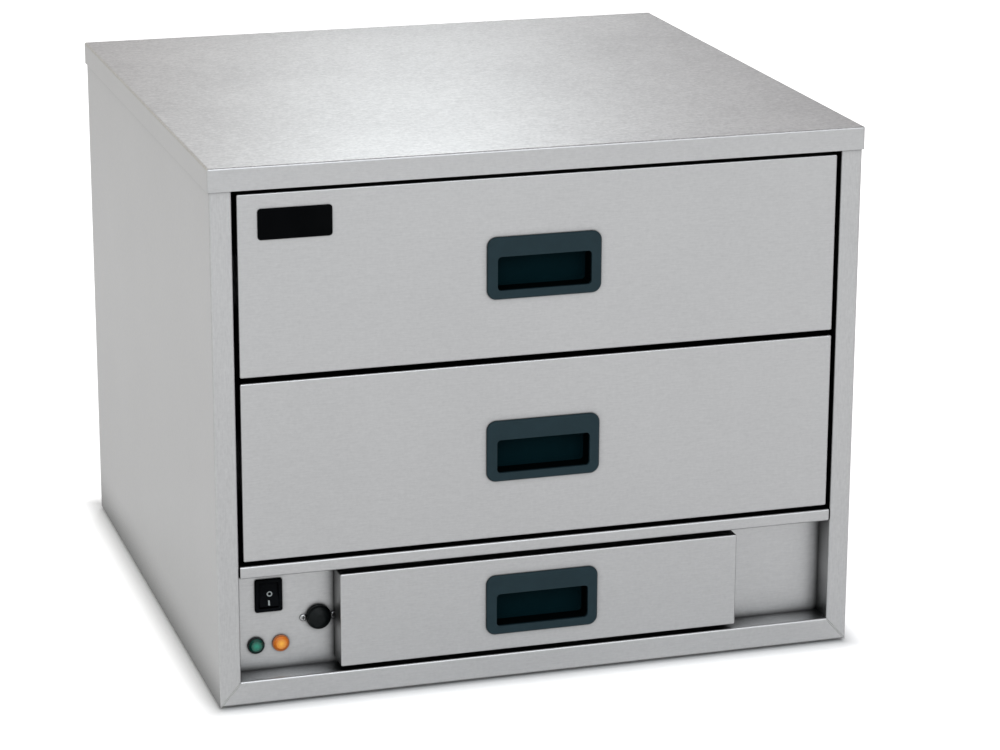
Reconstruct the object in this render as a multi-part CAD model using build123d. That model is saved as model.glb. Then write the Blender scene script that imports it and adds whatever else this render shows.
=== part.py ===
"""Countertop warming drawer: a steel cabinet with two heated pan drawers above a water drawer.

Millimetres. +X is to the right seen from the front, -Y is the front, +Z is up. The origin is
on the resting surface, under the middle of the bounding box.
"""

from build123d import *
import os

os.makedirs("parts", exist_ok=True)

# ---- driving dimensions ---------------------------------------------------------------

# Cabinet
body_w = 600.0  # over the side panels
body_d = 580.0  # front plane of the frame to the outside of the rear panel
body_h = 492.0  # underside of the base to the top of the cover
foot_h = 3.0
sheet = 1.2  # outer sheet
bend = 1.0  # inside radius of a fold
cover_t = 1.5  # the cover is thicker, and stands out by its own thickness
cover_lip = 21.0
side_flange = 20.0
base_flange = 22.5
recess = 25.0  # depth of the frame's return, where the control fascia stands
rear_flange = 15.0
insulation_gap = 18.8  # liner to the outside of the cabinet, at the sides and rear

# Fronts, as heights above the base
large_front_w = 552.0
large_front_h = 164.0
small_front_w = 377.0
small_front_h = 88.0
front_d = 23.0
water_front_z = 26.6
rail_z = 119.0
rail_h = 11.8
drawer_2_z = 134.8
drawer_1_z = 303.6

# Recessed pull handle
handle_w = 105.5
handle_h = 56.4
handle_proud = 2.5
handle_body = (92.0, 43.0)
handle_deep = 20.5
pocket_w = 87.0
pocket_h = 30.8
pocket_sill = 8.0  # bezel below the pocket

# Pan drawer; heights are above the underside of its front
runner_length = 500.0
runner_start = 29.0  # behind the front plane
runner_t = 1.4
runner_mid = 81.0
runner_out = 12.9  # liner wall to the drawer's side plate
outer_half = 22.5  # half heights of the three members
middle_half = 20.6
inner_half = 18.7
carrier_t = 1.5
carrier_low = 50.0
carrier_high = 145.0
carrier_ledge = 14.0  # width of the flange that the pan hangs on
pan_t = 1.0
pan_depth = 107.0
pan_draft = 3.0

# Water drawer; heights are above the base
window_w = 352.0
window_low = 32.0
window_high = 108.0
tray_low = 36.0
tray_high = 80.0
tray_x = 160.0
tray_length = 320.0
tray_rim = 12.0
tray_t = 1.0

# Heating element, a loop under the chamber floor
element_r = 4.0
element_drop = 23.0  # below the chamber floor
element_x = 150.0
element_bend = 60.0

# Controls on the fascia: x from the middle, z above the base
switch_at = (-248.5, 92.8)
switch_bezel = (25.0, 31.0)
rocker_tilt = 10.0
rocker_half = (8.7, 10.9)
thermostat_at = (-203.0, 68.0)
thermostat_screw_pitch = 28.0
knob_r = 11.3
knob_out = 9.6
shaft_r = 3.0
green_lamp_at = (-260.8, 46.2)
amber_lamp_at = (-238.0, 46.2)
lamp_r = 7.7
lens_r = 6.4

# Rear: the panel's side screws as parts of the body's height, louvres, and the cord gland
rear_screw_parts = (0.12, 0.5, 0.88)
slot_w = 50.0
slot_h = 4.0
slot_pitch = (62.0, 12.0)
gland_at = (240.0, 45.0)
gland_out = 16.0
gland_thread_r = 8.0
cord_bore_r = 4.5

# ---- places worked out from them ------------------------------------------------------

front = (handle_proud - body_d - gland_out) / 2
floor = foot_h
side_x = body_w / 2
frame_x = side_x - side_flange
liner_x = frame_x
rear_out = front + body_d
rear_in = rear_out - sheet
fascia_y = front + recess
liner_rear = rear_out - insulation_gap - sheet
liner_low = floor + rail_z + rail_h - sheet
liner_high = floor + body_h - cover_lip - 2.5
cover_under = floor + body_h - cover_t
lip_under = floor + body_h - cover_lip
element_z = liner_low - element_drop
element_rear = rear_in - 28
runner_y0 = front + runner_start
runner_y1 = runner_y0 + runner_length
carrier_x = liner_x - runner_out


# ---- helpers --------------------------------------------------------------------------


def block(x0, x1, y0, y1, z0, z1):
    """A block given by its limits."""
    middle = Pos((x0 + x1) / 2, (y0 + y1) / 2, (z0 + z1) / 2)
    return middle * Box(x1 - x0, y1 - y0, z1 - z0)


def rod_y(x, z, radius, y0, y1):
    """A round bar along Y."""
    return Pos(x, (y0 + y1) / 2, z) * Rot(90, 0, 0) * Cylinder(radius, y1 - y0)


def along_x(section, x0, x1):
    """A section drawn as (y, z), carried along X."""
    return Pos(x0, 0, 0) * extrude(Plane.YZ * section, x1 - x0)


def along_y(section, y0, y1):
    """A section drawn as (x, z), carried along Y."""
    return Pos(0, y1, 0) * extrude(Plane.XZ * section, y1 - y0)


def along_z(section, z0, z1):
    """A section drawn as (x, y), carried along Z."""
    return Pos(0, 0, z0) * extrude(section, z1 - z0)


def face_plate(width, height, radius, x, z, y0, y1):
    """A plate with rounded corners that faces the front."""
    outline = Pos(x, z) * RectangleRounded(width, height, radius)
    return along_y(outline, y0, y1)


def moved_left(points, distance):
    """The same run of points, moved sideways to the left of its travel."""
    steps = [Vector(*b) - Vector(*a) for a, b in zip(points, points[1:])]
    normals = [Vector(-s.Y, s.X).normalized() for s in steps]
    before = [normals[0]] + normals
    after = normals + [normals[-1]]
    moved = []
    for point, n0, n1 in zip(points, before, after):
        shift = (n0 + n1) * (distance / (1 + n0.dot(n1)))
        moved.append((point[0] + shift.X, point[1] + shift.Y))
    return moved


def folded(points, thickness=sheet, radius=bend):
    """Section of a folded sheet: the points are one skin, and the metal lies to their left."""
    inner = moved_left(points, thickness)
    skin_radii = [0.0]
    far_radii = [0.0]
    for a, b, c in zip(points, points[1:], points[2:]):
        turn = (b[0] - a[0]) * (c[1] - b[1]) - (b[1] - a[1]) * (c[0] - b[0])
        skin_radii.append(radius + thickness if turn > 0 else radius)
        far_radii.append(radius if turn > 0 else radius + thickness)
    skin_radii.append(0.0)
    far_radii.append(0.0)
    outline = list(points) + inner[::-1]
    return make_face(FilletPolyline(*outline, radius=skin_radii + far_radii[::-1], close=True))


def both_sides(shape):
    """The shape and its mirror image on the other side of the cabinet."""
    return Part() + [shape, mirror(shape, about=Plane.YZ)]


def tube(points, radius):
    """A round bar along straight runs, mitred where they meet."""
    path = Polyline(*points)
    ring = Plane(origin=path @ 0, z_dir=path % 0) * Circle(radius)
    return sweep(ring, path=path, transition=Transition.RIGHT)


def save(name, shape):
    """Writes one named piece."""
    shape.label = name
    export_step(shape, f"parts/{name}.step")


# ---- cabinet shell --------------------------------------------------------------------


def mitre(above):
    """Room on one side of the 45 degree joint at the frame's lower left corner."""
    low = (-side_x + sheet, floor)
    high = (-frame_x, floor + base_flange)
    if above:
        rest = [(high[0], high[1] + 5), (low[0] - 5, high[1] + 5), (low[0] - 5, low[1])]
    else:
        rest = [(high[0] + 5, high[1]), (high[0] + 5, low[1] - 5), (low[0], low[1] - 5)]
    corners = Polyline(low, high, *rest, close=True)
    return along_y(make_face(corners), front - 1, fascia_y + 1)


def side_panel():
    """Left side: the skin, folded round to the front flange and its return."""
    run = [
        (-side_x + rear_flange, rear_in),
        (-side_x, rear_in),
        (-side_x, front),
        (-frame_x, front),
        (-frame_x, fascia_y),
    ]
    return along_z(folded(run), floor, cover_under) - mitre(above=False)


def base_panel():
    """The floor, with the front flange turned up and back and a rear flange turned up."""
    top = floor + base_flange
    run = [
        (fascia_y, top),
        (front, top),
        (front, floor),
        (rear_in - sheet, floor),
        (rear_in - sheet, floor + rear_flange),
    ]
    reach = side_x - sheet - bend
    return along_x(folded(run), -reach, reach) - both_sides(mitre(above=True))


def top_cover():
    """The lid: a pan turned upside down, its lips meeting at a narrow open seam."""
    reach = side_x + cover_t
    z_top = floor + body_h
    lid = block(-reach, reach, front - cover_t, rear_out + cover_t, lip_under, z_top)
    outer_edges = lid.edges().group_by(Axis.Z)[-1] + lid.edges().filter_by(Axis.Z)
    lid = fillet(outer_edges, 2.0)
    lid -= block(-side_x, side_x, front, rear_out, lip_under - 1, cover_under)
    seam_top = z_top - 4.0
    for x in (-side_x, side_x):
        for y in (front, rear_out):
            seam = Pos(x, y, 0) * Rot(0, 0, 45 if x * y > 0 else -45) * Box(0.7, 8, 60)
            lid -= seam & block(x - 4, x + 4, y - 4, y + 4, lip_under - 1, seam_top)
    return lid


def vent_slots(x, z, columns, rows):
    """Openings of one louvre field in the rear panel."""
    slots = Part()
    for column in range(columns):
        for row in range(rows):
            left = x + (column - (columns - 1) / 2) * slot_pitch[0] - slot_w / 2
            low = z + (row - (rows - 1) / 2) * slot_pitch[1] - slot_h / 2
            slots += block(left, left + slot_w, rear_in - 1, rear_out + 1, low, low + slot_h)
    return slots


def rear_panel():
    """The flat back, with a field of louvres and the hole of the cord gland."""
    inside = side_x - sheet
    panel = block(-inside, inside, rear_in, rear_out, floor + 2, cover_under)
    panel -= vent_slots(-120, floor + 72, 4, 4)
    panel -= rod_y(gland_at[0], floor + gland_at[1], gland_thread_r + 0.2, rear_in - 1, rear_out + 1)
    return panel


def hex_head(x, z, y0, y1):
    """Head of a hexagonal sheet-metal screw."""
    return along_y(Pos(x, z) * RegularPolygon(4, 6), y0, y1)


def rear_screws():
    """Hexagonal screws of the rear panel and the cover's rear lip."""
    edge_x = side_x - 8
    lip_out = rear_out + cover_t
    lip_z = floor + body_h - cover_lip / 2
    screws = Part()
    for part in rear_screw_parts:
        for x in (-edge_x, edge_x):
            screws += hex_head(x, floor + body_h * part, rear_out, rear_out + 2.2)
    for x in (-side_x / 2, side_x / 2):
        screws += hex_head(x, lip_z, lip_out, lip_out + 2.2)
    return screws


def front_rail():
    """The narrow rail between the lower large drawer and the control fascia."""
    low = floor + rail_z
    run = [(fascia_y, low + rail_h), (front, low + rail_h), (front, low), (fascia_y, low)]
    reach = frame_x - 1.0
    return along_x(folded(run), -reach, reach)


def upper_rail():
    """The rail behind the cover's front lip."""
    run = [(fascia_y, cover_under), (front, cover_under), (front, lip_under), (fascia_y, lip_under)]
    return along_x(folded(run), -frame_x, frame_x)


def control_fascia():
    """The recessed plate behind the front plane, with the water drawer's window."""
    reach = side_x - 10
    y0, y1 = fascia_y, fascia_y + sheet
    plate = block(-reach, reach, y0, y1, floor + 8, liner_low)
    half = window_w / 2
    plate -= block(-half, half, y0 - 1, y1 + 1, floor + window_low, floor + window_high)
    x, z = switch_at
    hole = [size - 2.8 for size in switch_bezel]
    plate -= face_plate(*hole, 1, x, floor + z, y0 - 1, y1 + 1)
    x, z = thermostat_at
    plate -= rod_y(x, floor + z, 5, y0 - 1, y1 + 1)
    for side in (-0.5, 0.5):
        plate -= rod_y(x + side * thermostat_screw_pitch, floor + z, 2.05, y0 - 1, y1 + 1)
    for x, z in (green_lamp_at, amber_lamp_at):
        plate -= rod_y(x, floor + z, 6.5, y0 - 1, y1 + 1)
    return plate


# ---- heated chamber -------------------------------------------------------------------


def liner_side():
    """Left wall of the chamber, which the runners are fixed to."""
    return block(-liner_x - sheet, -liner_x, fascia_y, liner_rear, liner_low, liner_high)


def liner_rear_wall():
    reach = liner_x + sheet
    return block(-reach, reach, liner_rear, liner_rear + sheet, liner_low, liner_high)


def liner_top():
    reach = liner_x + sheet
    return block(-reach, reach, fascia_y, liner_rear + sheet, liner_high, liner_high + sheet)


def liner_floor():
    """Floor of the chamber, slotted so that warm moist air rises into it."""
    plate = block(-liner_x, liner_x, fascia_y, liner_rear, liner_low, liner_low + sheet)
    for column in range(5):
        for row in range(6):
            x = (column - 2) * 72
            y = front + 110 + row * 62
            plate -= block(x - 24, x + 24, y - 4, y + 4, liner_low - 1, liner_low + sheet + 1)
    return plate


def insulation_side():
    """Mineral wool between the left liner wall and the side panel."""
    return block(-side_x + sheet, -liner_x - sheet, fascia_y + 5, liner_rear, liner_low + 4, liner_high)


def insulation_top():
    reach = liner_x + sheet
    return block(-reach, reach, fascia_y + 5, liner_rear, liner_high + sheet, cover_under)


def insulation_rear():
    reach = liner_x + sheet
    return block(-reach, reach, liner_rear + sheet, rear_in, liner_low + 4, cover_under)


# ---- heating --------------------------------------------------------------------------


def heating_element():
    """A tubular heater bent into one wide loop, with a cold pin standing out of each end."""
    low = front + 100
    near = element_bend * (1 - 0.5**0.5)
    half = [(element_x, element_rear), (element_x, low + element_bend)]
    half += [(element_x - near, low + near), (element_x - element_bend, low)]
    run = [(-x, y, element_z) for x, y in half] + [(x, y, element_z) for x, y in half[::-1]]
    loop = tube(run, element_r)
    for x in (-element_x, element_x):
        loop += rod_y(x, element_z, element_r / 2, element_rear, element_rear + 14)
    return loop


def element_supports():
    """Straps below the tube and the rear plate that its legs pass through."""
    seat = element_z - element_r
    half = element_x + 26
    run = [(-half, liner_low), (-half, seat - sheet), (half, seat - sheet), (half, liner_low)]
    straps = [along_y(folded(run), front + y, front + y + 12) for y in (150, 340)]
    plate_y = element_rear - 24
    plate = block(-half + 4, half - 4, plate_y, plate_y + 1.5, element_z - 14, liner_low)
    for x in (-element_x, element_x):
        plate -= rod_y(x, element_z, element_r + 0.1, plate_y - 1, plate_y + 3)
    return Part() + straps + [plate]


# ---- controls -------------------------------------------------------------------------


def switch_housing():
    """Snap-in rocker switch: bezel, well and the body with its blades behind the fascia."""
    x, z = switch_at[0], floor + switch_at[1]
    width, height = switch_bezel
    bezel = face_plate(width, height, 2, x, z, fascia_y - 2, fascia_y)
    bezel = chamfer(bezel.edges().group_by(Axis.Y)[0], 0.6)
    body = face_plate(width - 3.2, height - 3.2, 0.8, x, z, fascia_y, fascia_y + 17)
    housing = bezel + body
    housing -= block(x - 9, x + 9, fascia_y - 3, fascia_y + 9, z - 12, z + 12)
    for dx in (-6, 6):
        for dz in (-8, 0):
            at_x, at_z = x + dx, z + dz
            y0 = fascia_y + 17
            housing += block(at_x - 0.4, at_x + 0.4, y0, y0 + 10, at_z - 3, at_z + 3)
    return housing


def switch_rocker():
    """The rocker, resting with its upper end pressed in."""
    x, z = switch_at[0], floor + switch_at[1]
    half_x, half_z = rocker_half
    upper = [(-3.2, 0.0), (-4.6, half_z), (0.0, half_z), (4.5, 5.0)]
    lower = [(4.5, -5.0), (0.0, -half_z), (-4.6, -half_z)]
    radii = [8.0, 0.6, 0.6, 1.0, 1.0, 0.6, 0.6]
    section = make_face(FilletPolyline(*upper, *lower, radius=radii, close=True))
    rocker = along_x(section, -half_x, half_x)
    return Pos(x, fascia_y + 2.5, z) * Rot(-rocker_tilt, 0, 0) * rocker


def thermostat_body():
    """Rotary thermostat behind the fascia."""
    x, z = thermostat_at[0], floor + thermostat_at[1]
    y0 = fascia_y + sheet
    case = block(x - 21, x + 21, y0, y0 + 24, z - 19, z + 19)
    neck = rod_y(x, z, 4.6, y0 - 0.6, y0)
    body = case + neck - rod_y(x, z, 3.3, y0 - 1, y0 + 12)
    for dx in (-9, 9):
        body += block(x + dx - 3, x + dx + 3, y0 + 24, y0 + 33, z - 0.4, z + 0.4)
    for side in (-0.5, 0.5):
        body -= rod_y(x + side * thermostat_screw_pitch, z, 1.75, y0 - 1, y0 + 8)
    return body


def thermostat_screws():
    """The two screws that hold the thermostat, one on each side of its knob."""
    screws = []
    for side in (-0.5, 0.5):
        x = thermostat_at[0] + side * thermostat_screw_pitch
        z = floor + thermostat_at[1]
        head = rod_y(x, z, 3.2, fascia_y - 1.6, fascia_y)
        screws.append(head + rod_y(x, z, 1.7, fascia_y, fascia_y + 8))
    return Part() + screws


def thermostat_shaft():
    """The spindle, with a flat where the knob grips it."""
    x, z = thermostat_at[0], floor + thermostat_at[1]
    tip = fascia_y - knob_out + 2.2
    shaft = rod_y(x, z, shaft_r, tip, fascia_y + sheet + 11.5)
    return shaft - block(x - 4, x + 4, tip - 1, fascia_y - 1.5, z + 1.6, z + 4)


def thermostat_knob():
    """A plain domed knob on the spindle, its skirt just clear of the screws."""
    x, z = thermostat_at[0], floor + thermostat_at[1]
    stem = [(0, -knob_out), (0, -0.6), (7, -0.6), (7, -2.0), (knob_r, -2.0), (knob_r, -3.6)]
    dome = [(10.2, -6.0), (7.7, -7.9), (4.4, -9.2), (1.5, -knob_out)]
    profile = make_face(Polyline(*stem, *dome, close=True))
    knob = Pos(x, fascia_y, z) * revolve(profile, Axis.Y)
    end = fascia_y - knob_out + 2
    bore = rod_y(x, z, shaft_r + 0.05, end, fascia_y)
    bore -= block(x - 4, x + 4, end - 1, fascia_y - 1.6, z + 1.65, z + 4)
    return knob - bore


def thermostat_bulb():
    """The capillary and the sensing bulb under the chamber floor."""
    x, z = thermostat_at[0], floor + thermostat_at[1]
    start = fascia_y + sheet + 24
    lift = liner_low - 9
    low_run = [(x, start, z), (x, start + 14, z), (x, start + 26, z + 12)]
    high_run = [(x, start + 26, lift - 12), (x, start + 38, lift), (x, start + 90, lift)]
    return tube(low_run + high_run, 1.0) + rod_y(x, lift, 3.2, start + 90, start + 180)


def lamp_body(at):
    """Round body of a signal lamp, pushed into the fascia from the front."""
    x, z = at[0], floor + at[1]
    rear = fascia_y + 22
    body = rod_y(x, z, 6.2, fascia_y, rear)
    flange = rod_y(x, z, lamp_r, fascia_y - 1.8, fascia_y)
    blades = [block(x + dx - 2, x + dx + 2, rear, rear + 8, z - 0.4, z + 0.4) for dx in (-3, 3)]
    return body + flange + blades - rod_y(x, z, lens_r, fascia_y - 2, fascia_y - 0.6)


def lamp_lens(at):
    """Domed lens seated in the lamp's body."""
    x, z = at[0], floor + at[1]
    dome = rod_y(x, z, lens_r, fascia_y - 3.6, fascia_y - 0.6)
    return chamfer(dome.edges().group_by(Axis.Y)[0], 1.6)


# ---- supply ---------------------------------------------------------------------------


def terminal_block():
    """Three-way terminal block on the base, beside the cord gland."""
    x, y, z = 205.0, rear_in - 70, floor + sheet
    case = block(x - 18, x + 18, y - 10, y + 10, z, z + 16)
    for pole in (-11, 0, 11):
        for row in (-5, 5):
            case -= block(x + pole - 2, x + pole + 2, y + row - 2, y + row + 2, z + 9, z + 17)
    return case


def cable_gland():
    """Hexagonal gland that the supply cord passes through."""
    x, z = gland_at[0], floor + gland_at[1]
    flange = along_y(Pos(x, z) * RegularPolygon(11.5, 6), rear_out, rear_out + 6)
    dome = rod_y(x, z, 9.5, rear_out + 6, rear_out + gland_out)
    dome = chamfer(dome.edges().group_by(Axis.Y)[-1], 2.5)
    thread = rod_y(x, z, gland_thread_r, rear_in - 10, rear_out)
    body = flange + dome + thread
    return body - rod_y(x, z, cord_bore_r, rear_in - 11, rear_out + gland_out + 1)


def gland_nut():
    x, z = gland_at[0], floor + gland_at[1]
    nut = along_y(Pos(x, z) * RegularPolygon(12, 6), rear_in - 5, rear_in)
    return nut - rod_y(x, z, gland_thread_r, rear_in - 6, rear_in + 1)


def feet():
    """Four rubber pads under the base."""
    pads = []
    for x in (-side_x + 45, side_x - 45):
        for y in (front + 45, rear_out - 45):
            pads.append(Pos(x, y, foot_h / 2) * Cylinder(15, foot_h))
    return Part() + pads


# ---- pull handle ----------------------------------------------------------------------


def handle_cutout(z):
    """Hole in a front for the handle's body."""
    half_x, half_z = (size / 2 + 0.3 for size in handle_body)
    return block(-half_x, half_x, front - 1, front + sheet + 2, z - half_z, z + half_z)


def pull_handle(z):
    """Moulded recessed pull: the fingers hook up behind the deep upper border."""
    bezel = face_plate(handle_w, handle_h, 8.5, 0, z, front - handle_proud, front)
    bezel = chamfer(bezel.edges().group_by(Axis.Y)[0], 1.2)
    deep = front + handle_deep
    half_x, half_z = (size / 2 for size in handle_body)
    body = block(-half_x, half_x, front, deep, z - half_z, z + half_z)
    sill = z - handle_h / 2 + pocket_sill
    mouth_z = sill + pocket_h / 2
    mouth = face_plate(pocket_w, pocket_h, 3.5, 0, mouth_z, front - handle_proud - 1, front + 12)
    hook_top = z + 19.5
    grip = face_plate(pocket_w, hook_top - sill, 3.5, 0, (hook_top + sill) / 2, front + 3, deep - 2)
    grip = chamfer(grip.edges().group_by(Axis.Y)[-1], 2)
    handle = bezel + body - mouth - grip
    catch = Polyline((1.5, 0), (1.5, 1.8), (8, 0), close=True)
    for x in (-28, 28):
        for up in (-1, 1):
            wedge = along_x(make_face(catch), x - 5, x + 5)
            wedge = wedge if up > 0 else mirror(wedge, about=Plane.XY)
            handle += Pos(0, front, z + up * (handle_body[1] / 2 - 0.1)) * wedge
    return handle


# ---- drawers --------------------------------------------------------------------------


def front_skin(width, height, low):
    """Folded outer skin of a drawer front, open behind."""
    z0 = floor + low
    shell = block(-width / 2, width / 2, front, front + front_d, z0, z0 + height)
    soft = shell.edges().filter_by(lambda edge: edge.center().Y < front + front_d - 0.1)
    shell = fillet(soft, 1.6)
    inner = width / 2 - sheet
    shell -= block(-inner, inner, front + sheet, front + front_d + 1, z0 + sheet, z0 + height - sheet)
    return shell - handle_cutout(z0 + height / 2)


def inner_skin(width, height, low):
    """Plate that closes a drawer front from behind."""
    inner = width / 2 - sheet
    z0 = floor + low
    rear = front + front_d
    return block(-inner, inner, rear - sheet, rear, z0 + sheet, z0 + height - sheet)


def channel(web_x, depth, half, mid):
    """C section of a left runner member: web at web_x, flanges reaching depth to the other side."""
    far = web_x + depth
    run = [(far, mid - half), (web_x, mid - half), (web_x, mid + half), (far, mid + half)]
    if depth > 0:
        run = run[::-1]
    return folded(run, runner_t, 0.6)


def runner_set(low, kind):
    """One member of both runners of a drawer, as a pair."""
    mid = floor + low + runner_mid
    sections = {
        "outers": channel(-liner_x, 12.4, outer_half, mid),
        "middles": channel(-liner_x + 2.0, 9.9, middle_half, mid),
        "inners": channel(-carrier_x, -8.6, inner_half, mid),
    }
    member = along_y(sections[kind], runner_y0, runner_y1)
    return both_sides(member)


def carrier(low):
    """Welded frame that carries the pan: side and rear plates with an inward top flange."""
    z0, z1 = floor + low + carrier_low, floor + low + carrier_high
    y0, y1 = front + front_d, runner_y1
    x, ledge = carrier_x, carrier_ledge
    tab = x - 22
    run = [(tab, y0), (x, y0), (x, y1), (-x, y1), (-x, y0), (-tab, y0)]
    walls = along_z(folded(run, carrier_t), z0, z1)
    flange = block(-x, x, y0, y1, z1 - carrier_t, z1)
    flange -= block(-x + ledge, x - ledge, y0 + ledge, y1 - ledge, z1 - 2 * carrier_t, z1 + 1)
    for step in range(3):
        y = y0 + 90 + step * 165
        slot = Pos(y, z1 - 16) * Rectangle(110, 10)
        walls -= along_x(slot, -x - 5, x + 5)
    return walls + flange


def pan(low):
    """Deep-drawn pan hung by its rim on the carrier's flange."""
    seat = floor + low + carrier_high
    y0, y1 = front + front_d + 3, runner_y1 - 2
    place = Pos(0, (y0 + y1) / 2, seat)
    rim_x, rim_y = 2 * carrier_x - 6, y1 - y0
    tub_x, tub_y = rim_x - 30, rim_y - 36

    def tub(shrink, top, deep):
        mouth = place * RectangleRounded(tub_x - 2 * shrink, tub_y - 2 * shrink, 32 - shrink)
        solid = extrude(mouth, -deep, taper=pan_draft)
        solid = chamfer(solid.edges().group_by(Axis.Z)[0], 11 - shrink)
        return solid + extrude(mouth, top)

    rim = extrude(place * RectangleRounded(rim_x, rim_y, 20), pan_t)
    return rim + tub(0, pan_t, pan_depth) - tub(pan_t, pan_t + 1, pan_depth - pan_t)


def drawer_screws(low):
    """Screws that hold the front to the carrier's tabs."""
    screws = []
    y = front + front_d + carrier_t
    for x in (-carrier_x + 12, carrier_x - 12):
        for z in (carrier_low + 14, carrier_high - 24):
            at_z = floor + low + z
            screws.append(hex_head(x, at_z, y, y + 2.4))
    return Part() + screws


# ---- water drawer ---------------------------------------------------------------------


def water_tray():
    """Shallow tray behind the water drawer's front, sliding on its rims."""
    t = tray_t
    y0 = front + front_d
    y1 = y0 + tray_length
    z0, z1 = floor + tray_low, floor + tray_high
    outside = block(-tray_x, tray_x, y0, y1, z0, z1)
    outside = fillet(outside.edges().group_by(Axis.Z)[0], 8)
    inside = block(-tray_x + t, tray_x - t, y0 + t, y1 - t, z0 + t, z1 + 5)
    inside = fillet(inside.edges().group_by(Axis.Z)[0], 7)
    rim = block(-tray_x - tray_rim, tray_x + tray_rim, y0, y1, z1, z1 + t)
    return outside + rim - inside


def water_guide():
    """Left guide that the tray's rim slides on, standing on the base."""
    x = tray_x + tray_rim + 2
    top = floor + tray_high - 0.4
    foot = floor + 2 * sheet
    run = [(-x + 9, top), (-x, top), (-x, foot), (-x - 12, foot)]
    return along_y(folded(run), fascia_y + 5, fascia_y + tray_length + 20)


# ---- write every piece ----------------------------------------------------------------

left_side = side_panel()
left_liner = liner_side()
left_wool = insulation_side()
left_guide = water_guide()

pieces = {
    "top_cover": top_cover(),
    "side_panel_left": left_side,
    "side_panel_right": mirror(left_side, about=Plane.YZ),
    "base_panel": base_panel(),
    "rear_panel": rear_panel(),
    "rear_screws": rear_screws(),
    "front_rail": front_rail(),
    "upper_rail": upper_rail(),
    "control_fascia": control_fascia(),
    "liner_left": left_liner,
    "liner_right": mirror(left_liner, about=Plane.YZ),
    "liner_rear": liner_rear_wall(),
    "liner_top": liner_top(),
    "liner_floor": liner_floor(),
    "insulation_left": left_wool,
    "insulation_right": mirror(left_wool, about=Plane.YZ),
    "insulation_top": insulation_top(),
    "insulation_rear": insulation_rear(),
    "heating_element": heating_element(),
    "element_supports": element_supports(),
    "switch_housing": switch_housing(),
    "switch_rocker": switch_rocker(),
    "thermostat_body": thermostat_body(),
    "thermostat_shaft": thermostat_shaft(),
    "thermostat_knob": thermostat_knob(),
    "thermostat_screws": thermostat_screws(),
    "thermostat_bulb": thermostat_bulb(),
    "green_lamp_body": lamp_body(green_lamp_at),
    "green_lamp_lens": lamp_lens(green_lamp_at),
    "amber_lamp_body": lamp_body(amber_lamp_at),
    "amber_lamp_lens": lamp_lens(amber_lamp_at),
    "terminal_block": terminal_block(),
    "cable_gland": cable_gland(),
    "gland_nut": gland_nut(),
    "feet": feet(),
    "water_guide_left": left_guide,
    "water_guide_right": mirror(left_guide, about=Plane.YZ),
    "water_drawer_front": front_skin(small_front_w, small_front_h, water_front_z),
    "water_drawer_inner_skin": inner_skin(small_front_w, small_front_h, water_front_z),
    "water_drawer_handle": pull_handle(floor + water_front_z + small_front_h / 2),
    "water_tray": water_tray(),
}
for drawer, low in (("drawer_1", drawer_1_z), ("drawer_2", drawer_2_z)):
    pieces[f"{drawer}_front"] = front_skin(large_front_w, large_front_h, low)
    pieces[f"{drawer}_inner_skin"] = inner_skin(large_front_w, large_front_h, low)
    pieces[f"{drawer}_handle"] = pull_handle(floor + low + large_front_h / 2)
    pieces[f"{drawer}_carrier"] = carrier(low)
    pieces[f"{drawer}_pan"] = pan(low)
    pieces[f"{drawer}_screws"] = drawer_screws(low)
    for kind in ("outers", "middles", "inners"):
        pieces[f"{drawer}_runner_{kind}"] = runner_set(low, kind)

for name, shape in pieces.items():
    save(name, shape)
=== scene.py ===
"""Looks of the countertop warming drawer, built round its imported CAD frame."""

import math

import bmesh
import bpy
from mathutils import Matrix, Vector


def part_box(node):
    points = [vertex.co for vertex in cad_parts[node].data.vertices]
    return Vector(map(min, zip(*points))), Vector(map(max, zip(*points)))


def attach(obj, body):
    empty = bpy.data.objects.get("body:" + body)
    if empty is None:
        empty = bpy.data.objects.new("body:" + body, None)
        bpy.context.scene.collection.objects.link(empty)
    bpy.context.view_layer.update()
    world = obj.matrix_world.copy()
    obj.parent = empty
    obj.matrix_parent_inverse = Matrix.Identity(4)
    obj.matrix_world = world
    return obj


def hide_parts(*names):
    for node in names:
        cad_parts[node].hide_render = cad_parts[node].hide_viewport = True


MM = 0.001

# ------------------------------------------------------------ camera and light

CAMERA_AT = Vector((-0.86644, -2.98780, 1.13701))
CAMERA_YAW = 17.062
CAMERA_PITCH = 16.736
CAMERA_ROLL = -0.206
CAMERA_LENS = 119.33
CAMERA_SENSOR = 36
CAMERA_CLIP_END = 60

FLOOR_HALF = 14
FLOOR_CELLS = 8
FLOOR_TONES = ((0.86, 0.86, 0.86, 1), (0.9, 0.9, 0.9, 1))
FLOOR_MOTTLE = 3.0
FOOTPRINT_HALF = (0.3, 0.297, 0.0)

# The floor's own glow: beside the object, out in the open, the run between them,
# and the glow that the steel mirrors.
GLOW_BESIDE = 0.02
GLOW_OPEN = 0.62
GLOW_RUN = 24 * MM
FLOOR_GLOSS = 0.126

# Lobes of light round the object: direction, sharpness, colour.
SKY = (
    ((0, -1, 0), 1, (0.50, 0.52, 0.52)),
    ((-1, 0, 0), 1, (0.52, 0.52, 0.51)),
    ((0, 0, 1), 1, (0.36, 0.34, 0.35)),
    ((0, 1, 0.8), 6, (0.69, 0.65, 0.64)),
    ((-1, -1, 0.2), 6, (0.42, 0.51, 0.52)),
    ((1, -1, 0.2), 6, (0.52, 0.52, 0.52)),
    ((-1, 1, 0.3), 6, (0.52, 0.52, 0.39)),
)

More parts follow.
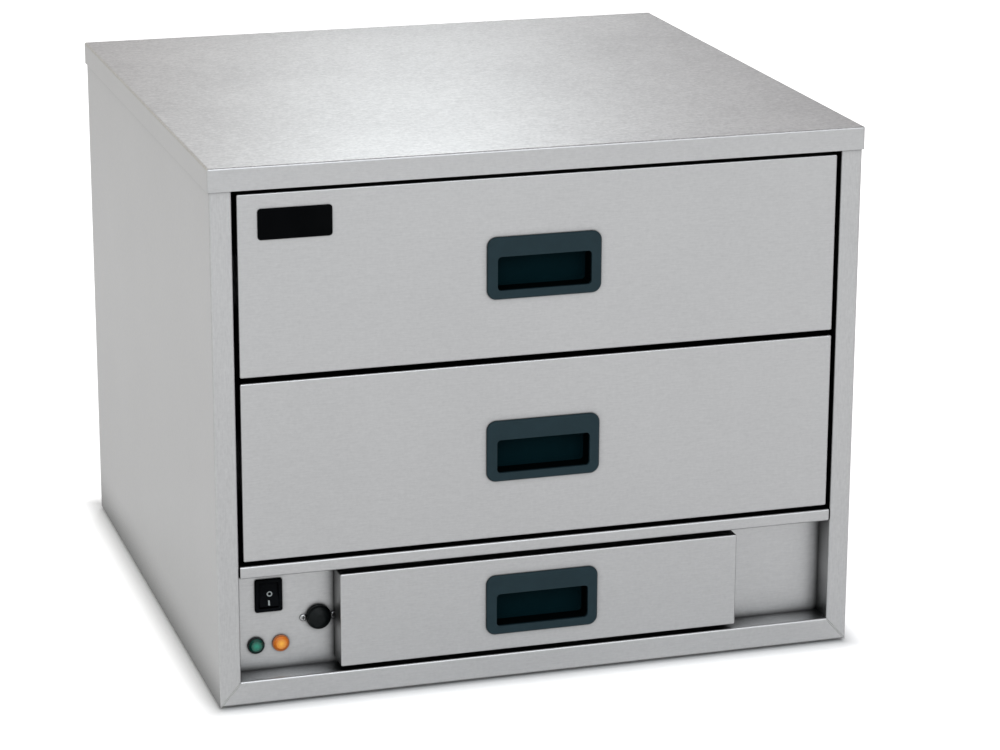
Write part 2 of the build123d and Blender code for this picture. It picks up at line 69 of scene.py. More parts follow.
# Softboxes: name, place, aim, width, height, power, colour.
SOFTBOXES = (
    ("lamp_back", (0.5, 2.0, 1.8), (0, -0.15, 0.48), 0.45, 0.4, 4.73, (0.917, 0.988, 1.0)),
    ("lamp_back2", (0.9, 2.0, 2.0), (0, -0.2, 0.48), 1.0, 0.35, 2.69, (0.91, 0.965, 1.0)),
    ("lamp_frontbig", (0.1, -4.0, 3.0), (0, 0, 0.2), 4.0, 2.4, 71.61, (0.901, 0.952, 1.0)),
)

# -------------------------------------------------------------------- finishes

# The steel's grain in cycles a metre, along and across the brushing, with its mottle
# and its clouds, and how much these two add to the tone.
GRAIN_ALONG = 110.0
GRAIN_ACROSS = 1150.0
MOTTLE = 340.0
MOTTLE_SHARE = 0.8
CLOUDS = 9.0
CLOUD_SHARE = 0.25
GRAIN_MIDDLE = 0.9
GRAIN_RANGE = (0.5, 1.3)

# How squarely a face looks along an axis, from "not at all" to "fully".
FACE_TURN = (0.3, 0.8)
# The part of a soft noise's range that holds most of its values.
NOISE_RANGE = (0.3, 0.7)
STIPPLE = 1400.0
PRISMS = 900.0
FIBRES = 420.0

# How far round a point hollows paint shade: on steel, front faces and others; on plastic.
STEEL_REACH = (6 * MM, 50 * MM)
PLASTIC_REACH = (30 * MM, 30 * MM)

# Depth over which a pull's bezel gives way to its pocket's painted shade, and the shine of each.
POCKET = (-298.6 * MM, -295.5 * MM)
POCKET_SHINE = (0.14, 0.01)
LENS_RADIUS = 5.2 * MM

# Finish of each material slot of the CAD, and of the nodes that differ from their slot.
SLOT_FINISH = {
    "brushed_skin": "skin_x",
    "inner_steel": "inner",
    "pan_steel": "pan",
    "plated_steel": "plated",
    "screw_steel": "screw",
    "element_sheath": "sheath",
    "copper_capillary": "copper",
    "handle_plastic": "handle",
    "switch_black": "switch",
    "knob_black": "knob",
    "lamp_black": "lamp",
    "lamp_amber_rim": "amber_rim",
    "lens_green": "lens_green",
    "lens_amber": "lens_amber",
    "terminal_white": "white",
    "gland_black": "gland",
    "foot_rubber": "rubber",
    "mineral_wool": "wool",
}
NODE_FINISH = {"side_panel_left": "skin_z", "side_panel_right": "skin_z", "top_cover": "cover"}

# ---------------------------------------------------- sizes of the extra pieces
# In millimetres, but for angles in degrees and shares.

FEET_HEIGHT = 3
BODY_HEIGHT = 492
CORNER_STEPS = 6

# The plate's middle, from the top front's upper left corner, and its own size.
# Its rings are pairs of inset and depth, from the sheet outwards.
PLATE_IN = 51
PLATE_DOWN = 27.5
PLATE_WIDTH = 66
PLATE_HEIGHT = 27.5
PLATE_CORNER = 3
PLATE_RINGS = ((0, 0.05), (0, 0.7), (0.35, 1.0))

# The rocker's dished face, and the marks on it.
ROCKER_TILT = -10.0
ROCKER_AT = Vector((-248.5, -269.25, 95.8)) * MM
ROCKER_FACE = -3.2
ROCKER_RISE = 1.4
ROCKER_HALF = 10.9
MARK_PROUD = 0.16
RING_AT = (0.9, 0.6)
RING_RADII = ((1.5, 1.4), (2.6, 2.4))
RING_STEPS = 40
BAR_SIDES = (-1.0, 0.6)
BAR_LOW = -9.6
BAR_LENGTH = 4.6
BAR_STEPS = 6

# A screw beside the knob: its head's profile as pairs of radius and depth, its cross
# recess from the bottom to beyond the head, and its shank.
HEAD_PROFILE = ((3.2, 0.0), (3.2, -0.7), (3.0, -1.1), (2.4, -1.45), (1.4, -1.6), (0.4, -1.62))
HEAD_RADIUS = 3.2
HEAD_HEIGHT = 1.6
HEAD_STEPS = 40
RECESS_LONG = 2.0
RECESS_WIDE = 0.42
RECESS_TAPER = (0.55, 0.7)
RECESS_DEPTHS = (-0.3, -2.2)
SHANK_RADIUS = 1.7
SHANK_OVERLAP = 0.05
SHANK_STEPS = 20

# A rear screw: pairs of radius and height of its washer and of its hexagonal head.
WASHER_PROFILE = ((4.0, 0.0), (4.0, 0.35), (3.6, 0.6))
WASHER_RADIUS = 4
WASHER_STEPS = 32
HEX_PROFILE = ((3.45, 0.3), (3.45, 1.85), (3.0, 2.2), (2.2, 2.2), (1.6, 1.9))
HEX_TURN = 12
PANEL_SCREW_SHARES = (0.12, 0.5, 0.88)
COVER_SCREW_X = 150
COVER_SCREW_DOWN = 10.5

# The ground welds: outer end of each joint, its run to the inner end, and the bead.
WELD_OUTER = (298.8, 3.6)
WELD_RUN = (18.8, 21.4)
WELD_START = 0.03
WELD_LENGTH = 0.94
WELD_STEPS = 8
WELD_HALF = 0.75
WELD_SWELL = 0.1
WELD_WANDER = 0.12
WELD_PROUD = 0.1
WELD_CLEAR = 0.01
WELD_ACROSS = (0.75, 0.66)


# ---------------------------------------------------------------- node helpers


def node_maker(tree):
    """A maker of linked nodes in one tree; i0, i1 and so on name inputs by number."""

    def add(kind, settings=None, **inputs):
        node = tree.nodes.new("ShaderNode" + kind)
        for key, value in (settings or {}).items():
            setattr(node, key, value)
        for key, value in inputs.items():
            numbered = key[0] == "i" and key[1:].isdigit()
            socket = node.inputs[int(key[1:]) if numbered else key.replace("_", " ")]
            if isinstance(value, bpy.types.NodeSocket):
                tree.links.new(value, socket)
            else:
                socket.default_value = value
        return node

    return add


def new_material(name):
    """An empty node material, and the maker of its nodes."""
    mat = bpy.data.materials.new(name)
    mat.use_nodes = True
    mat.node_tree.nodes.clear()
    return mat, node_maker(mat.node_tree)


def finished(mat, shader):
    """The material with a shader on its surface."""
    output = mat.node_tree.nodes.new("ShaderNodeOutputMaterial")
    mat.node_tree.links.new(shader.outputs[0], output.inputs["Surface"])
    return mat


def linear(value):
    """One 8-bit screen value as a linear one."""
    share = value / 255
    return share / 12.92 if share <= 0.04045 else ((share + 0.055) / 1.055) ** 2.4


def srgb(red, green, blue):
    """An 8-bit screen colour as a linear colour."""
    return (linear(red), linear(green), linear(blue), 1.0)


def noise(add, vector, scale, detail=2.0, rough=0.5):
    """A soft noise, mostly between the two ends of NOISE_RANGE."""
    node = add("TexNoise", Vector=vector, Scale=scale, Detail=detail, Roughness=rough)
    return node.outputs["Fac"]


def ramp(add, value, low, high, to_low=0.0, to_high=1.0):
    """A value brought from one range to another, and kept inside it."""
    ends = {"From_Min": low, "From_Max": high, "To_Min": to_low, "To_Max": to_high}
    return add("MapRange", Value=value, **ends).outputs["Result"]


def calc(add, operation, *values):
    """The result of one sum on numbers."""
    inputs = {f"i{number}": value for number, value in enumerate(values)}
    return add("Math", {"operation": operation}, **inputs).outputs[0]


def vector_calc(add, operation, *values, output="Vector"):
    """The result of one sum on vectors."""
    inputs = {f"i{number}": value for number, value in enumerate(values)}
    return add("VectorMath", {"operation": operation}, **inputs).outputs[output]


def scaled(add, colour, factor):
    """A colour made lighter or darker by a factor."""
    return add("VectorMath", {"operation": "SCALE"}, i0=colour, Scale=factor).outputs[0]


def blend_colour(add, factor, dark, light):
    """A mix of two colours, each a fixed colour or a socket."""
    return add("Mix", {"data_type": "RGBA"}, i0=factor, i6=dark, i7=light).outputs[2]


def relief(add, height, strength, depth, edge_radius):
    """A bump over edges that are softened to a radius."""
    edge = add("Bevel", {"samples": 4}, Radius=edge_radius).outputs[0]
    return add("Bump", Strength=strength, Distance=depth, Height=height, Normal=edge).outputs[0]


def facing(add, axis):
    """How squarely a face looks along one world axis, either way: 0 to 1."""
    normal = add("NewGeometry").outputs["Normal"]
    return calc(add, "ABSOLUTE", add("SeparateXYZ", Vector=normal).outputs[axis])


def openness(add, low, high, reaches):
    """How open a point lies: 0 deep in a corner, 1 in the open.

    Faces that look to the front or back are judged over the first reach, others over
    the second.
    """
    front, others = reaches
    distance = ramp(add, facing(add, "Y"), *FACE_TURN, others, front)
    share = add("AmbientOcclusion", {"samples": 8}, Distance=distance).outputs["AO"]
    return ramp(add, share, low, high)


# ------------------------------------------------------------------- materials


def steel(name, run, dark, light, rough, bump=0.03, spread=0.8, top_grain=1.0, deep=0.08):
    """Brushed stainless sheet: short scratches along one axis over a fine mottle.

    The grain goes from dark to light within spread of its middle, top_grain is its
    contrast on level faces, and deep is how much colour its painted shade in hollows keeps.
    """
    mat, add = new_material(name)
    coord = add("TexCoord").outputs["Object"]
    scale = [GRAIN_ALONG if axis == run else GRAIN_ACROSS for axis in "XYZ"]
    streak = add("Mapping", Vector=coord, Scale=scale).outputs["Vector"]
    fine = noise(add, streak, 1.0, 2.0, 0.6)
    mottle = noise(add, coord, MOTTLE, 3.0, 0.6)
    clouds = noise(add, coord, CLOUDS, 3.0, 0.55)
    grain = calc(add, "MULTIPLY_ADD", mottle, MOTTLE_SHARE, fine)
    tone = calc(add, "MULTIPLY_ADD", clouds, CLOUD_SHARE, grain)
    offset = calc(add, "SUBTRACT", tone, GRAIN_MIDDLE + CLOUD_SHARE / 2)
    contrast = ramp(add, facing(add, "Z"), *FACE_TURN, 1.0, top_grain)
    shade = ramp(add, calc(add, "MULTIPLY", offset, contrast), -spread, spread)
    colour = blend_colour(add, shade, srgb(*dark), srgb(*light))
    # Painted shade: the colour is darkened in hollows and corners, down to deep of it.
    painted_shade = ramp(add, openness(add, 0.4, 0.95, STEEL_REACH), 0.0, 1.0, deep, 1.0)
    shader = add(
        "BsdfPrincipled",
        Base_Color=scaled(add, colour, painted_shade),
        Metallic=1.0,
        Roughness=ramp(add, grain, *GRAIN_RANGE, rough - 0.05, rough + 0.05),
        Normal=relief(add, fine, bump, 0.1 * MM, 0.4 * MM),
    )
    return finished(mat, shader)


def plastic(name, dark, light, rough, grain=STIPPLE, bump=0.12, coat=0.0, shine=0.3, deep=1.0):
    """Moulded plastic with a fine stipple; deep is how much colour and shine painted shade keeps.
    """
    mat, add = new_material(name)
    coord = add("TexCoord").outputs["Object"]
    patches = noise(add, coord, 30.0, 3.0, 0.6)
    colour = blend_colour(add, ramp(add, patches, *NOISE_RANGE), srgb(*dark), srgb(*light))
    level = shine
    # Below 1, deep paints shade into hollows: colour and shine are darkened there.
    if deep < 1.0:
        painted_shade = ramp(add, openness(add, 0.35, 0.9, PLASTIC_REACH), 0.0, 1.0, deep, 1.0)
        colour = scaled(add, colour, painted_shade)
        level = calc(add, "MULTIPLY", painted_shade, shine)
    shader = add(
        "BsdfPrincipled",
        Base_Color=colour,
        Roughness=ramp(add, patches, *NOISE_RANGE, rough - 0.04, rough + 0.05),
        Normal=relief(add, noise(add, coord, grain), bump, 0.05 * MM, 0.35 * MM),
        Coat_Weight=coat,
        Specular_IOR_Level=level,
    )
    return finished(mat, shader)


def handle_plastic(name, bezel, pocket, wall_shade):
    """Grey-blue plastic pulls with painted shade in the pocket: deep teal, near-black walls."""
    mat, add = new_material(name)
    coord = add("TexCoord").outputs["Object"]
    depth = add("SeparateXYZ", Vector=coord).outputs["Y"]
    # Painted shade: the pocket is dark teal where it faces out, and near-black on its side walls.
    square = ramp(add, facing(add, "Y"), *FACE_TURN)
    painted_shade = blend_colour(add, square, srgb(*wall_shade), srgb(*pocket))
    # Deeper than the bezel face, the colour turns to this painted shade.
    colour = blend_colour(add, ramp(add, depth, *POCKET), srgb(*bezel), painted_shade)
    patches = noise(add, coord, 60.0, 3.0, 0.6)
    tone = ramp(add, patches, *NOISE_RANGE, 0.93, 1.07)
    shader = add(
        "BsdfPrincipled",
        Base_Color=scaled(add, colour, tone),
        Roughness=ramp(add, patches, *NOISE_RANGE, 0.42, 0.5),
        Normal=relief(add, noise(add, coord, STIPPLE), 0.12, 0.05 * MM, 0.5 * MM),
        # The pocket's shine is cut as well, as painted shade.
        Specular_IOR_Level=ramp(add, depth, *POCKET, *POCKET_SHINE),
    )
    return finished(mat, shader)


def lens(name, centre, rim, middle, glow):
    """A coloured signal lens with a painted glow towards its middle and a faint prism pattern."""
    mat, add = new_material(name)
    coord = add("TexCoord").outputs["Object"]
    place = {"Location": centre, "Scale": (LENS_RADIUS, 1.0, LENS_RADIUS)}
    local = add("Mapping", {"vector_type": "TEXTURE"}, Vector=coord, **place).outputs["Vector"]
    flat = vector_calc(add, "MULTIPLY", local, (1.0, 0.0, 1.0))
    reach = vector_calc(add, "LENGTH", flat, output="Value")
    cells = add("TexVoronoi", Vector=coord, Scale=PRISMS).outputs["Distance"]
    # Painted glow: the colour runs from the light middle to the dark rim, broken up by the prism
    # cells.
    spot = calc(add, "MULTIPLY_ADD", cells, 0.25, reach)
    colour = blend_colour(add, ramp(add, spot, 0.25, 1.1), srgb(*middle), srgb(*rim))
    # The same painted colour is also emitted faintly, at glow.
    shader = add(
        "BsdfPrincipled",
        Base_Color=colour,
        Roughness=0.22,
        Normal=add("Bump", Strength=0.15, Distance=0.1 * MM, Height=cells).outputs[0],
        Coat_Weight=0.25,
        Emission_Color=colour,
        Emission_Strength=glow,
    )
    return finished(mat, shader)


def wool(name, dark, light):
    """Mineral wool: a yellowish felt of short crossing fibres."""
    mat, add = new_material(name)
    coord = add("TexCoord").outputs["Object"]
    fibres = noise(add, coord, FIBRES, 6.0, 0.7)
    colour = blend_colour(add, ramp(add, fibres, 0.35, 0.65), srgb(*dark), srgb(*light))
    bump = add("Bump", Strength=0.8, Distance=1.0 * MM, Height=fibres).outputs[0]
    shader = add("BsdfPrincipled", Base_Color=colour, Roughness=0.95, Normal=bump)
    return finished(mat, shader)


def steels():
    """The metal finishes."""
    skin = ((178, 178, 179), (208, 208, 208))
    pan = ((176, 176, 178), (212, 212, 212))
    weld = ((178, 179, 178), (204, 204, 202))
    return {
        # Each steel paints shade into its hollows; the inner and pan sheets keep more colour
        # there.
        "skin_x": steel("brushed_skin_x", "X", *skin, 0.36),
        "skin_z": steel("brushed_skin_z", "Z", *skin, 0.37, spread=0.65),
        "cover": steel("brushed_cover", "X", *skin, 0.38, top_grain=4.4),
        "inner": steel("mill_steel", "Y", (150, 151, 153), (188, 188, 188), 0.42, deep=0.4),
        "pan": steel("pan_steel", "Y", *pan, 0.26, spread=1.6, deep=0.6),
        "plated": steel("plated_steel", "Y", (168, 170, 174), (206, 208, 210), 0.3),
        "screw": steel("screw_steel", "X", (150, 150, 152), (205, 205, 205), 0.25),
        "sheath": steel("element_sheath", "X", (70, 62, 58), (120, 108, 100), 0.45),
        "copper": steel("copper_capillary", "Z", (150, 88, 60), (205, 130, 92), 0.3),
        "weld": steel("ground_weld", "Y", *weld, 0.46, bump=0.2),
    }


def plastics():
    """The moulded finishes."""
    # The pull's bezel colour, then the painted shade of its pocket and of the pocket's walls.
    pull = ((31, 48, 54), (6, 28, 33), (2, 6, 7))
    switch = ((4, 6, 9), (8, 10, 13))
    knob = ((6, 10, 11), (11, 16, 17))
    mark = ((150, 156, 156), (172, 178, 178))
    plate = ((5, 6, 7), (9, 10, 11))
    rubber = ((16, 16, 16), (34, 33, 32))
    look = {"grain": 2200.0, "bump": 0.05, "shine": 0.01}
    return {
        "handle": handle_plastic("handle_plastic", *pull),
        # The rocker and the knob get painted shade in their hollows.
        "switch": plastic("switch_black", *switch, 0.3, shine=0.04, deep=0.3),
        "knob": plastic("knob_black", *knob, 0.36, shine=0.16, deep=0.3),
        "lamp": plastic("lamp_black", (6, 14, 14), (12, 22, 22), 0.3, shine=0.2),
        "amber_rim": plastic("lamp_amber_rim", (150, 78, 26), (176, 98, 40), 0.3, coat=0.4),
        "mark": plastic("mark_white", *mark, 0.6, grain=2400.0, shine=0.05),
        "plate": plastic("blank_plate_black", *plate, 0.4, **look),
        "white": plastic("terminal_white", (205, 203, 196), (226, 224, 218), 0.45),
        "gland": plastic("gland_black", (18, 18, 19), (30, 30, 31), 0.5),
        "rubber": plastic("foot_rubber", *rubber, 0.75, grain=700.0, bump=0.35),
    }


def lenses():
    """Both signal lenses, each centred on its own node."""
    green = centre_of("green_lamp_lens")
    amber = centre_of("amber_lamp_lens")
    return {
        # Rim and middle colours of each lens's painted glow, then the strength of its faint
        # emission.
        "lens_green": lens("lens_green", green, (2, 62, 52), (10, 138, 112), 0.1),
        "lens_amber": lens("lens_amber", amber, (204, 112, 32), (238, 170, 52), 0.14),
    }


def make_materials():
    """One procedural material for each finish."""
    felt = wool("mineral_wool", (120, 108, 74), (190, 178, 136))
    return {**steels(), **plastics(), **lenses(), "wool": felt}


def centre_of(node):
    """The middle of a node's box at rest."""
    low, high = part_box(node)
    return (low + high) / 2


def dress_frame(frame, made):
    """Gives every CAD node its finish."""
    for name, obj in frame["nodes"].items():
        for slot in obj.material_slots:
            base = slot.material.name.split(".")[0]
            slot.material = made[NODE_FINISH.get(name, SLOT_FINISH.get(base, "skin_x"))]


# ------------------------------------------------------------------ mesh tools


def link_object(name, data):
    """A new object in the scene."""
    obj = bpy.data.objects.new(name, data)
    bpy.context.scene.collection.objects.link(obj)
    return obj


def mesh_object(name, bm):
    """A mesh as an object in the scene."""
    mesh = bpy.data.meshes.new(name)
    bm.to_mesh(mesh)
    bm.free()
    return link_object(name, mesh)


def solid_object(name, bm):
    """A closed mesh as an object, its faces turned outwards."""
    bmesh.ops.recalc_face_normals(bm, faces=bm.faces)
    return mesh_object(name, bm)


def piece(name, bm, material, body):
    """A finished solid that rides on a body."""
    obj = solid_object(name, bm)
    obj.data.materials.append(material)
    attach(obj, body)
    return obj


def circle(steps, turn=0.0):
    """Cosine and sine of evenly spaced angles, from turn in degrees."""
    angles = [math.radians(turn) + 2 * math.pi * step / steps for step in range(steps)]
    return [(math.cos(angle), math.sin(angle)) for angle in angles]


def rounded_outline(width, height, radius):
    """Corner-rounded rectangle as (x, z) points, counter-clockwise."""
    points = []
    for side_x, side_z, start in ((1, 1, 0), (-1, 1, 90), (-1, -1, 180), (1, -1, 270)):
        x = side_x * (width / 2 - radius)
        z = side_z * (height / 2 - radius)
        for step in range(CORNER_STEPS + 1):
            angle = math.radians(start + 90 * step / CORNER_STEPS)
            points.append((x + radius * math.cos(angle), z + radius * math.sin(angle)))
    return points


def bridge(bm, low, high):
    """Faces between two rings of vertices."""
    count = len(low)
    for i in range(count):
        j = (i + 1) % count
        bm.faces.new((low[i], low[j], high[j], high[i]))


def layered(rings, closed=False):
    """A solid through rings of equal length: capped at both ends, or closed into a loop."""
    bm = bmesh.new()
    loops = [[bm.verts.new(point) for point in ring] for ring in rings]
    for low, high in zip(loops, loops[1:]):
        bridge(bm, low, high)
    if closed:
        bridge(bm, loops[-1], loops[0])
    else:
        bm.faces.new(loops[0])
        bm.faces.new(reversed(loops[-1]))
    return bm


def turned(x, z, profile, steps, turn=0.0):
    """A solid about a line along Y: profile is pairs of radius and y, from back to front."""
    unit = circle(steps, turn)
    return layered([[(x + r * cos, y, z + r * sin) for cos, sin in unit] for r, y in profile])


def join_meshes(parts):
    """Several meshes as one."""
    whole = bmesh.new()
    for part in parts:
        mesh = bpy.data.meshes.new("part")
        part.to_mesh(mesh)
        part.free()
        whole.from_mesh(mesh)
        bpy.data.meshes.remove(mesh)
    return whole


def cut(target, cutter):
    """The target mesh with the cutter taken out of it."""
    solid = solid_object("cut_solid", target)
    tool = solid_object("cut_tool", cutter)
    difference = solid.modifiers.new("cut", "BOOLEAN")
    difference.object = tool
    difference.solver = "EXACT"
    depsgraph = bpy.context.evaluated_depsgraph_get()
    left = bpy.data.meshes.new_from_object(solid.evaluated_get(depsgraph))
    result = bmesh.new()
    result.from_mesh(left)
    # Both objects go with their meshes.
    for mesh in (left, solid.data, tool.data):
        bpy.data.meshes.remove(mesh)
    return result


# ---------------------------------------------------------------- extra pieces


def blank_plate(made):
    """A bare black plate with rounded corners at the upper left of the top front."""
    low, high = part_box("drawer_1_front")
    middle_x = low.x + PLATE_IN * MM
    middle_z = high.z - PLATE_DOWN * MM
    rings = []
    for inset, depth in PLATE_RINGS:
        width = (PLATE_WIDTH - 2 * inset) * MM
        height = (PLATE_HEIGHT - 2 * inset) * MM
        outline = rounded_outline(width, height, (PLATE_CORNER - inset) * MM)
        rings.append([(middle_x + x, low.y - depth * MM, middle_z + z) for x, z in outline])
    piece("blank_plate", layered(rings), made["plate"], "drawer_1")


def on_rocker(x, z, proud):
    """A point on the rocker's dished face, or proud of it."""
    y = ROCKER_FACE - abs(z) * ROCKER_RISE / ROCKER_HALF - proud
    return (x * MM, y * MM, z * MM)


def printed_line(inner, outer, closed):
    """A mark on the rocker between two lines of (x, z) points."""
    rows = []
    for (x0, z0), (x1, z1) in zip(inner, outer):
        corners = ((x0, z0, 0.0), (x1, z1, 0.0), (x1, z1, MARK_PROUD), (x0, z0, MARK_PROUD))
        rows.append([on_rocker(*corner) for corner in corners])
    return layered(rows, closed)


def rocker_marks(made):
    """The round and the straight mark printed on the rocker's dished face."""
    x, z = RING_AT
    unit = circle(RING_STEPS)
    ring = [[(x + rx * cos, z + rz * sin) for cos, sin in unit] for rx, rz in RING_RADII]
    rise = [BAR_LOW + BAR_LENGTH * step / BAR_STEPS for step in range(BAR_STEPS + 1)]
    bar = [[(side, height) for height in rise] for side in BAR_SIDES]
    marks = join_meshes([printed_line(*ring, True), printed_line(*bar, False)])
    tilt = Matrix.Rotation(math.radians(ROCKER_TILT), 4, "X")
    marks.transform(Matrix.Translation(ROCKER_AT) @ tilt)
    piece("rocker_marks", marks, made["mark"], "power_rocker")


def recess_arm(x, y, z, wide, tall):
    """One bar of a cross recess, tapering inwards."""
    bottom, mouth = RECESS_DEPTHS
    taper_wide, taper_tall = RECESS_TAPER
    corners = ((1, 1), (-1, 1), (-1, -1), (1, -1))
    rings = []
    for w, t, depth in ((wide * taper_wide, tall * taper_tall, bottom), (wide, tall, mouth)):
        at = y + depth * MM
        rings.append([(x + side * w * MM, at, z + up * t * MM) for side, up in corners])
    return layered(rings)


def cross_screw(x, y, z):
    """A pan-head screw seen from the front, with its cross recess."""
    profile = [(radius * MM, y + depth * MM) for radius, depth in HEAD_PROFILE]
    head = turned(x, z, profile, HEAD_STEPS)
    for wide, tall in ((RECESS_LONG, RECESS_WIDE), (RECESS_WIDE, RECESS_LONG)):
        head = cut(head, recess_arm(x, y, z, wide, tall))
    return head


def thermostat_screws(made):
    """Both screws beside the knob, with their recesses."""
    low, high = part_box("thermostat_screws")
    seat = low.y + HEAD_HEIGHT * MM
    z = (low.z + high.z) / 2
    places = (low.x + HEAD_RADIUS * MM, high.x - HEAD_RADIUS * MM)
    heads = [cross_screw(x, seat, z) for x in places]
    shank = [(SHANK_RADIUS * MM, high.y), (SHANK_RADIUS * MM, seat + SHANK_OVERLAP * MM)]
    shanks = [turned(x, z, shank, SHANK_STEPS) for x in places]
    both = join_meshes(heads + shanks)
    screws = piece("thermostat_cross_screws", both, made["screw"], "cabinet")
    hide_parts("thermostat_screws")


def hex_screw(x, z, seat):
    """A hexagonal head on a pressed washer, its top chamfered, standing back from its seat."""
    washer = [(radius * MM, seat + y * MM) for radius, y in WASHER_PROFILE]
    head = [(radius * MM, seat + y * MM) for radius, y in HEX_PROFILE]
    return [turned(x, z, washer, WASHER_STEPS), turned(x, z, head, 6, HEX_TURN)]


def rear_screws(made):
    """Washer-head screws of the rear panel and of the cover's rear lip."""
    low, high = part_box("rear_screws")
    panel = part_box("rear_panel")[1].y
    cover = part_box("top_cover")[1].y
    side = (high.x - low.x) / 2 - WASHER_RADIUS * MM
    parts = []
    for x in (-side, side):
        for share in PANEL_SCREW_SHARES:
            parts += hex_screw(x, (FEET_HEIGHT + BODY_HEIGHT * share) * MM, panel)
    for x in (-COVER_SCREW_X * MM, COVER_SCREW_X * MM):
        parts += hex_screw(x, (FEET_HEIGHT + BODY_HEIGHT - COVER_SCREW_DOWN) * MM, cover)
    all_screws = join_meshes(parts)
    screws = piece("rear_washer_screws", all_screws, made["screw"], "cabinet")
    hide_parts("rear_screws")


def weld_ring(front, side, share):
    """The bead's section at one place along a joint."""
    wander = WELD_WANDER * math.sin(7.0 * share + side)
    x = side * (WELD_OUTER[0] - WELD_RUN[0] * share + wander)
    z = WELD_OUTER[1] + WELD_RUN[1] * share
    half = WELD_HALF + WELD_SWELL * math.sin(11.0 * share)
    ring = []
    for across, proud in ((-half, 0), (-half / 2, WELD_PROUD), (half / 2, WELD_PROUD), (half, 0)):
        at_x = x + across * WELD_ACROSS[0]
        at_z = z + side * across * WELD_ACROSS[1]
        ring.append((at_x * MM, front - (proud + WELD_CLEAR) * MM, at_z * MM))
    return ring


def corner_welds(made):
    """Ground weld beads along the mitred joints of the frame's lower corners."""
    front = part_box("base_panel")[0].y
    shares = [WELD_START + WELD_LENGTH * step / WELD_STEPS for step in range(WELD_STEPS + 1)]
    beads = [layered([weld_ring(front, side, share) for share in shares]) for side in (-1, 1)]
    piece("corner_welds", join_meshes(beads), made["weld"], "cabinet")


# ---------------------------------------------------------------------- studio


def set_camera():
    """The photograph's viewing angle."""
    yaw = math.radians(CAMERA_YAW)
    pitch = math.radians(CAMERA_PITCH)
    roll = math.radians(CAMERA_ROLL)
    level = math.cos(pitch)
    forward = Vector((math.sin(yaw) * level, math.cos(yaw) * level, -math.sin(pitch)))
    right = Vector((math.cos(yaw), -math.sin(yaw), 0))
    down = forward.cross(right)
    rolled_right = right * math.cos(roll) + down * math.sin(roll)
    rolled_down = -right * math.sin(roll) + down * math.cos(roll)
    matrix = Matrix((rolled_right, -rolled_down, -forward)).transposed().to_4x4()
    matrix.translation = CAMERA_AT
    data = bpy.data.cameras.new("camera")
    data.lens = CAMERA_LENS
    data.sensor_width = CAMERA_SENSOR
    data.clip_end = CAMERA_CLIP_END
    camera = link_object("camera", data)
    camera.matrix_world = matrix
    bpy.context.scene.camera = camera


def floor_material():
    """White matt floor, plain to the camera but for a soft shadow beside the object."""
    mat, add = new_material("floor_white")
    coord = add("TexCoord").outputs["Object"]
    mottle = noise(add, coord, FLOOR_MOTTLE)
    diffuse = add("BsdfDiffuse", Color=blend_colour(add, mottle, *FLOOR_TONES))
    away = vector_calc(add, "ABSOLUTE", coord)
    away = vector_calc(add, "SUBTRACT", away, FOOTPRINT_HALF)
    away = vector_calc(add, "MAXIMUM", away, (0.0, 0.0, 0.0))
    away = vector_calc(add, "LENGTH", away, output="Value")
    path = add("LightPath").outputs
    glow = ramp(add, away, 0.0, GLOW_RUN, GLOW_BESIDE, GLOW_OPEN)
    seen = calc(add, "MULTIPLY", path["Is Camera Ray"], glow)
    strength = calc(add, "MULTIPLY_ADD", path["Is Glossy Ray"], FLOOR_GLOSS, seen)
    emission = add("Emission", Color=(1, 1, 1, 1), Strength=strength)
    return finished(mat, add("AddShader", i0=diffuse.outputs[0], i1=emission.outputs[0]))


def studio_floor():
    """The plain floor that the object stands on."""
    bm = bmesh.new()
    cells = {"x_segments": FLOOR_CELLS, "y_segments": FLOOR_CELLS}
    bmesh.ops.create_grid(bm, **cells, size=FLOOR_HALF)
    floor = mesh_object("floor", bm)
    floor.data.materials.append(floor_material())


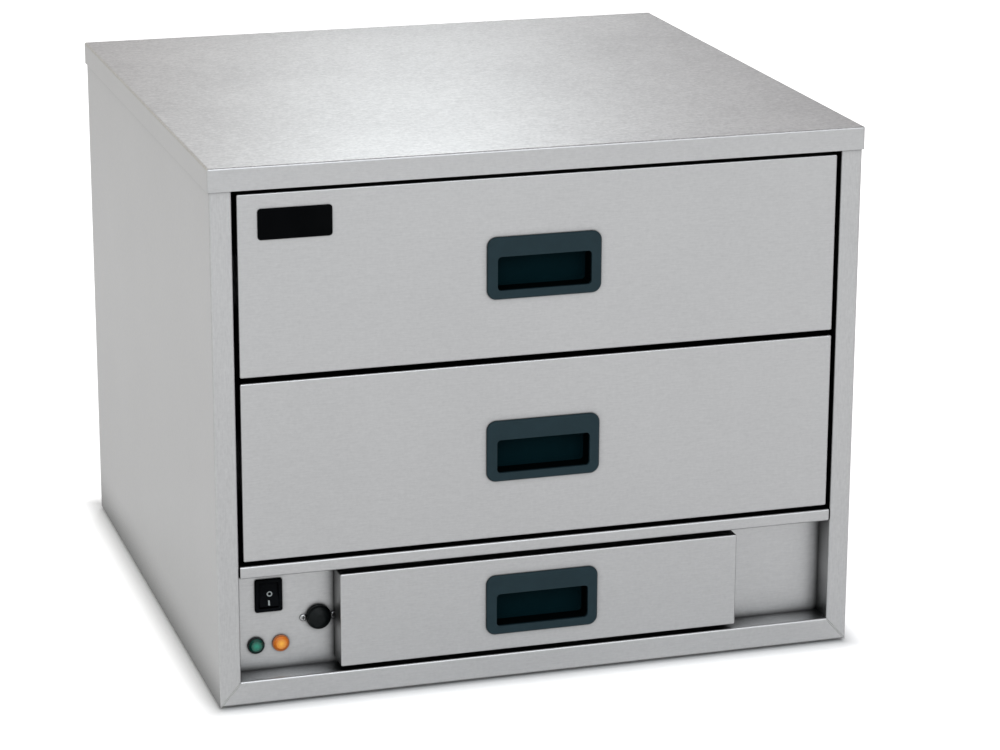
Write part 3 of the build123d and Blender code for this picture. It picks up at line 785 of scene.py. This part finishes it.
def sky():
    """Soft lobes of light all round for the object, and plain white behind it."""
    world = bpy.data.worlds.new("studio")
    world.use_nodes = True
    world.node_tree.nodes.clear()
    add = node_maker(world.node_tree)
    place = add("TexCoord").outputs["Generated"]
    total = (0.0, 0.0, 0.0)
    for direction, sharp, colour in SKY:
        aim = Vector(direction).normalized()
        towards = vector_calc(add, "DOT_PRODUCT", place, aim, output="Value")
        lobe = calc(add, "POWER", calc(add, "MAXIMUM", towards, 0.0), sharp)
        total = vector_calc(add, "ADD", total, scaled(add, colour, lobe))
    lit = add("Background", Color=total)
    plain = add("Background", Color=(1, 1, 1, 1))
    seen = add("LightPath").outputs["Is Camera Ray"]
    mix = add("MixShader", i0=seen, i1=lit.outputs[0], i2=plain.outputs[0])
    add("OutputWorld", Surface=mix.outputs[0])
    bpy.context.scene.world = world


def softbox(name, place, aim, width, height, power, colour):
    """One rectangular lamp, turned to its aim."""
    data = bpy.data.lights.new(name, "AREA")
    data.shape = "RECTANGLE"
    data.size = width
    data.size_y = height
    data.energy = power
    data.color = colour
    lamp = link_object(name, data)
    lamp.location = place
    lamp.rotation_euler = (Vector(aim) - Vector(place)).to_track_quat("-Z", "Y").to_euler()


# ------------------------------------------------------------------------ main

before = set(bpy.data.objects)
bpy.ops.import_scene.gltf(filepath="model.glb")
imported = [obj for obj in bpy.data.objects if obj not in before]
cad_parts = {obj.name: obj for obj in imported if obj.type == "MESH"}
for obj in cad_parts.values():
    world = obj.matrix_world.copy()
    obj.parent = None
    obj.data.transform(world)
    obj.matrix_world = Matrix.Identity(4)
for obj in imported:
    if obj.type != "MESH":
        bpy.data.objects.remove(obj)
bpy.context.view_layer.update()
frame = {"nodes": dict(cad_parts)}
finishes = make_materials()
dress_frame(frame, finishes)
blank_plate(finishes)
rocker_marks(finishes)
thermostat_screws(finishes)
rear_screws(finishes)
corner_welds(finishes)
set_camera()
studio_floor()
sky()
for row in SOFTBOXES:
    softbox(*row)
bpy.context.scene.view_settings.view_transform = "Standard"
